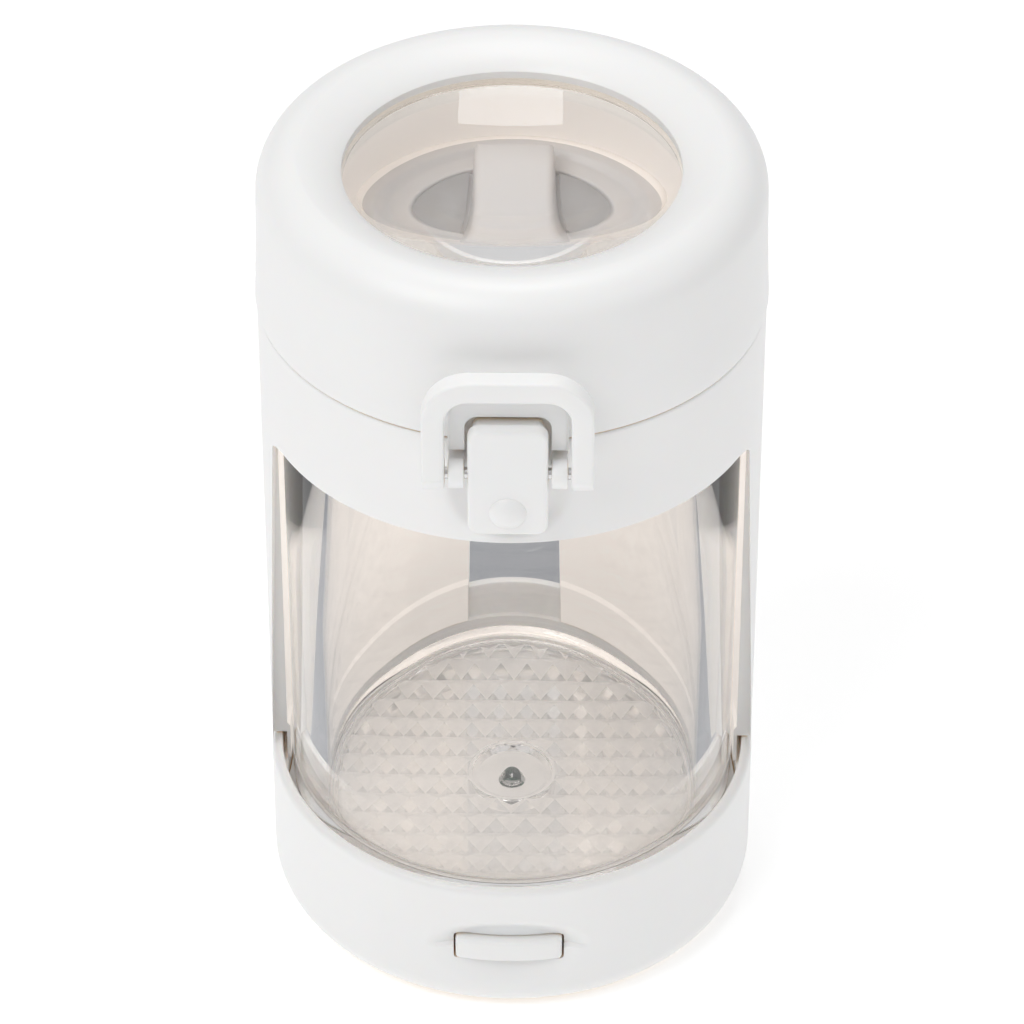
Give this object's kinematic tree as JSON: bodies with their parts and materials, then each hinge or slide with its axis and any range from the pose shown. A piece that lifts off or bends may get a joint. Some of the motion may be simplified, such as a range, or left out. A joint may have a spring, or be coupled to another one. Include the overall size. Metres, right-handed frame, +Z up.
{
  "type": "pill crusher",
  "caption": "Hand-held pill crusher: magnifier flip lid with push latch and lock bail, turning crusher in the neck, clear jar in a windowed white sleeve, lit base.",
  "frame": {"origin": "centre of the foot pad's underside, on the surface the object stands on", "axes": "+Z up along the body's axis; the latch and the light button face -Y; +X to the right seen from the front"},
  "size_m": [0.0754, 0.0861, 0.1359],
  "materials": {
    "white_shell": "satin moulded white",
    "liner": "satin moulded warm white",
    "clear": "polished clear plastic",
    "silicone": "soft translucent white",
    "pad": "matte grey",
    "steel": "satin",
    "inlay": "brushed grey",
    "board": "green solder mask",
    "black": "black",
    "red": "red wire sleeve",
    "cell": "foil pouch"
  },
  "bodies": {
    "housing": {"base_shell": "white_shell", "base_cover": "white_shell", "foot_pad": "pad", "circuit_board": "board", "switch_body": "steel", "battery": "cell", "battery_lead_black": "black", "battery_lead_red": "red", "led": "clear", "charging_port": "steel", "light_deck": "white_shell", "floor_lens": "clear", "floor_seal": "silicone", "jar": "clear", "jar_seal": "silicone", "sleeve": "white_shell", "neck_ring": "white_shell", "lower_jaw": "steel", "hinge_pin": "steel", "hinge_spring": "steel", "latch_pin": "steel", "latch_spring": "steel", "base_screw_1": "steel", "base_screw_2": "steel", "base_screw_3": "steel", "base_screw_4": "steel"},
    "light_button": {"led_button": "white_shell"},
    "switch_plunger": {"switch_plunger": "black"},
    "lid": {"lid_shell": "white_shell", "lid_liner": "liner", "lens": "clear", "lid_gasket": "silicone"},
    "crusher": {"crusher_cap": "white_shell", "upper_jaw": "steel", "jaw_screw": "steel", "cap_inlay_left": "inlay", "cap_inlay_right": "inlay"},
    "latch_button": {"latch_button": "white_shell"},
    "lock_bail": {"lock_bail": "white_shell"}
  },
  "joints": [
    {"name": "lid_hinge", "type": "hinge", "parent": "housing", "child": "lid", "pos_m": [0, 0.0396, 0.1117], "axis": [-1, 0, 0], "range_deg": [0, 110]},
    {"name": "latch_press", "type": "hinge", "parent": "housing", "child": "latch_button", "pos_m": [0, -0.041, 0.1089], "axis": [1, 0, 0], "range_deg": [0, 9], "stiffness_Nm_per_rad": 0.08, "springref_deg": -4.58},
    {"name": "lock_bail_swing", "type": "hinge", "parent": "housing", "child": "lock_bail", "pos_m": [0, -0.041, 0.1089], "axis": [1, 0, 0], "range_deg": [0, 170]},
    {"name": "crusher_turn", "type": "hinge", "parent": "housing", "child": "crusher", "pos_m": [0, 0, 0.112], "axis": [0, 0, 1], "continuous": true},
    {"name": "light_button_push", "type": "slide", "parent": "housing", "child": "light_button", "axis": [0, 1, 0], "range_m": [0, 0.0008], "stiffness_N_per_m": 1200, "springref_m": -0.0004},
    {"name": "switch_push", "type": "slide", "parent": "housing", "child": "switch_plunger", "axis": [0, 1, 0], "range_m": [0, 0.0008]}
  ],
  "couplings": [
    {"joint": "switch_push", "follows": "light_button_push", "ratio": 1}
  ]
}
